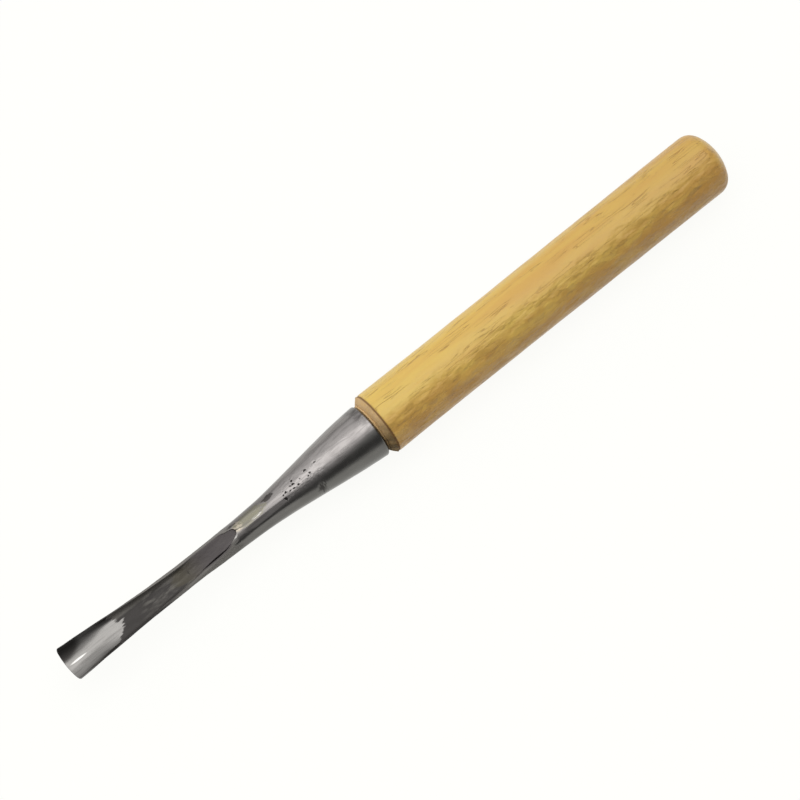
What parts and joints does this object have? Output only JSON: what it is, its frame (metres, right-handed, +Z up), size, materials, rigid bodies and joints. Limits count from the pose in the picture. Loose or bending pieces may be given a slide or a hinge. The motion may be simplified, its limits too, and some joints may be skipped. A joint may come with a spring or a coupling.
{
  "type": "socket carving gouge",
  "caption": "Small wood carving gouge: a forged U-shaped steel blade with a rolled conical socket, driven onto the tapered tenon of a plain turned wooden handle with a rounded butt.",
  "frame": {"origin": "middle of the tool's length, on the ground plane below its axis", "axes": "+X along the tool from cutting edge to butt, +Z up, out of the open flute"},
  "size_m": [0.222, 0.0182, 0.0182],
  "materials": {
    "forged_steel": "forged carbon steel, ground bright in the flute and on the socket, dark scale between them",
    "lacquered_wood": "turned hardwood under clear yellow lacquer, bare at the shoulder chamfer and the tenon"
  },
  "bodies": {
    "root": {"gouge_blade": "forged_steel", "handle": "lacquered_wood"}
  },
  "joints": []
}
